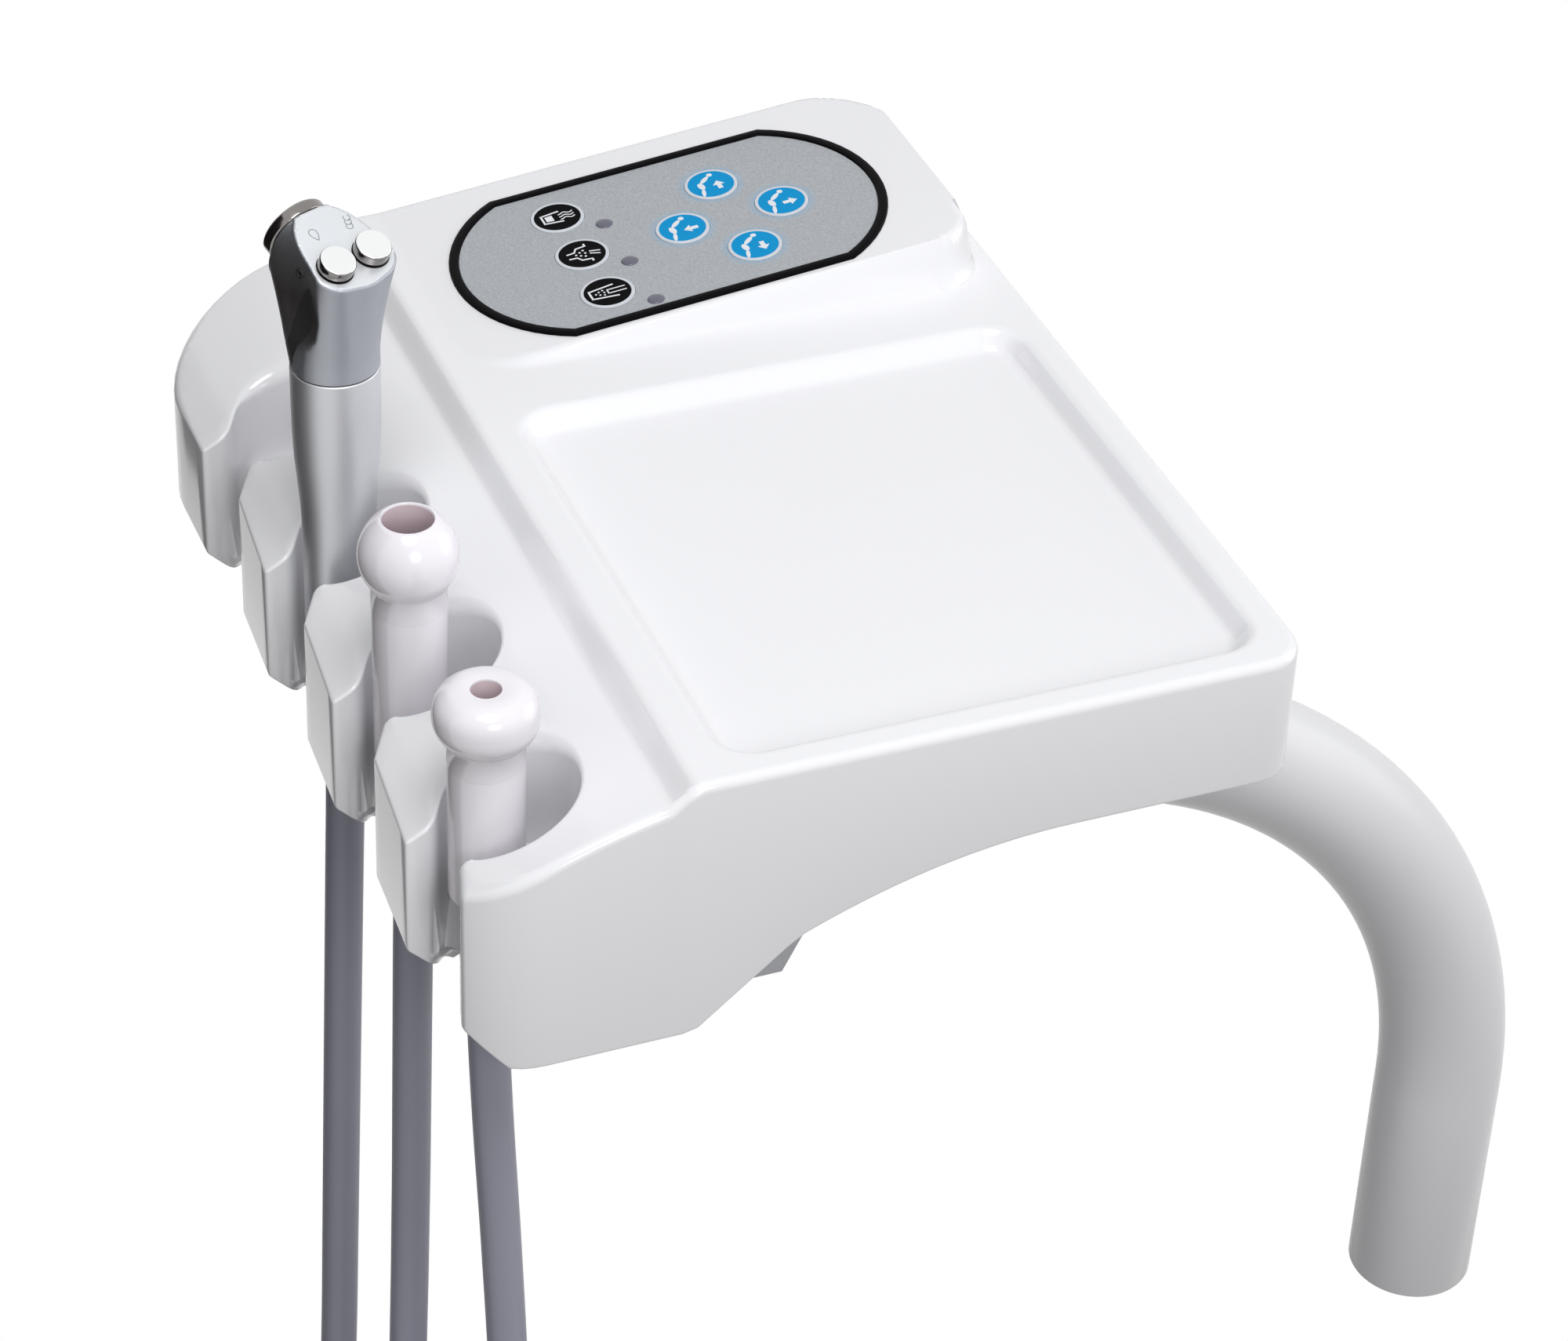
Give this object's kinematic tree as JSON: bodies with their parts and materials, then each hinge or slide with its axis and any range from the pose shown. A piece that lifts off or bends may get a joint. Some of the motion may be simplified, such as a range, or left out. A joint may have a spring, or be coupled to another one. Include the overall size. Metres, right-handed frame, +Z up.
{
  "type": "dental assistant instrument console",
  "caption": "Moulded console with holder slots, tray and keypad on a bent tube arm, holding a three-way syringe and two suction handpieces on hoses.",
  "frame": {"origin": "centre of the lower end of the arm tube", "axes": "+Z up along the arm's upright leg, -Y towards the person who takes the instruments, +X to the ejector side"},
  "size_m": [0.287, 0.358, 0.5766],
  "materials": {
    "white_plastic": "glossy near-white moulded plastic",
    "cover_plastic": "fine matte white moulded plastic",
    "socket_casting": "white painted casting",
    "tube_paint": "glossy off-white powder paint on steel tube",
    "steel": "bright zinc plated steel",
    "border_black": "black raised border",
    "key_plate": "silver-grey fine sparkle overlay",
    "key_black": "black key with a pale ring",
    "key_blue": "blue key with a pale ring",
    "lens": "smoky lens",
    "board": "circuit board laminate",
    "ribbon": "flat ribbon cable",
    "head_metal": "satin dark silver",
    "sleeve_metal": "satin anodised aluminium",
    "chrome": "polished",
    "brass": "machined",
    "rubber": "nitrile",
    "hose": "matte blue-grey hose",
    "strap": "nylon strap",
    "suction_plastic": "glossy white autoclavable plastic"
  },
  "bodies": {
    "console": {"console_shell": "white_plastic", "bottom_cover": "cover_plastic", "cover_screws": "steel", "arm_socket": "socket_casting", "socket_screws": "steel", "clamp_screws": "steel", "arm_tube": "tube_paint", "keypad_bezel": "border_black", "keypad_plate": "key_plate", "led_lenses": "lens", "keypad_leds": "lens", "keypad_board": "board", "dome_switches": "steel", "board_screws": "steel", "keypad_ribbon": "ribbon", "ribbon_plug": "cover_plastic"},
    "heater_button": {"heater_key": "key_black"},
    "bowl_button": {"bowl_key": "key_black"},
    "cup_button": {"cup_key": "key_black"},
    "chair_up_button": {"chair_up_key": "key_blue"},
    "chair_down_button": {"chair_down_key": "key_blue"},
    "back_up_button": {"back_up_key": "key_blue"},
    "back_down_button": {"back_down_key": "key_blue"},
    "syringe": {"syringe_head": "head_metal", "syringe_sleeve": "sleeve_metal", "syringe_collar": "chrome", "collar_seal": "rubber", "valve_core": "brass", "air_spring": "steel", "water_spring": "steel", "head_set_screw": "steel", "syringe_hose_nut": "chrome", "syringe_hose": "hose", "syringe_hose_coil": "hose", "syringe_hose_tie": "strap", "syringe_coupling": "chrome"},
    "air_push": {"air_button": "chrome"},
    "water_push": {"water_button": "chrome"},
    "suction_handpiece": {"suction_body": "suction_plastic", "suction_seal": "rubber", "suction_hose_nut": "suction_plastic", "suction_hose": "hose", "suction_hose_coil": "hose", "suction_hose_tie": "strap", "suction_cuff": "suction_plastic"},
    "suction_end": {"suction_tip": "suction_plastic"},
    "ejector_handpiece": {"ejector_body": "suction_plastic", "ejector_seal": "rubber", "ejector_hose_nut": "suction_plastic", "ejector_hose": "hose", "ejector_hose_coil": "hose", "ejector_hose_tie": "strap", "ejector_cuff": "suction_plastic"},
    "ejector_end": {"ejector_tip": "suction_plastic"}
  },
  "joints": [
    {"name": "heater_press", "type": "slide", "parent": "console", "child": "heater_button", "axis": [0, 0.1104, -0.9939], "range_m": [0, 0.0004], "stiffness_N_per_m": 3000},
    {"name": "bowl_press", "type": "slide", "parent": "console", "child": "bowl_button", "axis": [0, 0.1104, -0.9939], "range_m": [0, 0.0004], "stiffness_N_per_m": 3000},
    {"name": "cup_press", "type": "slide", "parent": "console", "child": "cup_button", "axis": [0, 0.1104, -0.9939], "range_m": [0, 0.0004], "stiffness_N_per_m": 3000},
    {"name": "chair_up_press", "type": "slide", "parent": "console", "child": "chair_up_button", "axis": [0, 0.1104, -0.9939], "range_m": [0, 0.0004], "stiffness_N_per_m": 3000},
    {"name": "chair_down_press", "type": "slide", "parent": "console", "child": "chair_down_button", "axis": [0, 0.1104, -0.9939], "range_m": [0, 0.0004], "stiffness_N_per_m": 3000},
    {"name": "back_up_press", "type": "slide", "parent": "console", "child": "back_up_button", "axis": [0, 0.1104, -0.9939], "range_m": [0, 0.0004], "stiffness_N_per_m": 3000},
    {"name": "back_down_press", "type": "slide", "parent": "console", "child": "back_down_button", "axis": [0, 0.1104, -0.9939], "range_m": [0, 0.0004], "stiffness_N_per_m": 3000},
    {"name": "syringe_lift", "type": "slide", "parent": "console", "child": "syringe", "axis": [0, 0, 1], "range_m": [0, 0.06]},
    {"name": "air_press", "type": "slide", "parent": "syringe", "child": "air_push", "axis": [-0.3744, -0.1589, -0.9135], "range_m": [0, 0.0018], "stiffness_N_per_m": 1500, "deforming": ["air_spring"]},
    {"name": "water_press", "type": "slide", "parent": "syringe", "child": "water_push", "axis": [-0.3744, -0.1589, -0.9135], "range_m": [0, 0.0018], "stiffness_N_per_m": 1500, "deforming": ["water_spring"]},
    {"name": "suction_lift", "type": "slide", "parent": "console", "child": "suction_handpiece", "axis": [0, 0, 1], "range_m": [0, 0.06]},
    {"name": "suction_tip_turn", "type": "hinge", "parent": "suction_handpiece", "child": "suction_end", "pos_m": [-0.0235, -0.3192, 0.328], "axis": [0, 0, 1], "continuous": true},
    {"name": "ejector_lift", "type": "slide", "parent": "console", "child": "ejector_handpiece", "axis": [0, 0, 1], "range_m": [0, 0.06]},
    {"name": "ejector_tip_turn", "type": "hinge", "parent": "ejector_handpiece", "child": "ejector_end", "pos_m": [0.0385, -0.3192, 0.321], "axis": [0, 0, 1], "continuous": true}
  ]
}
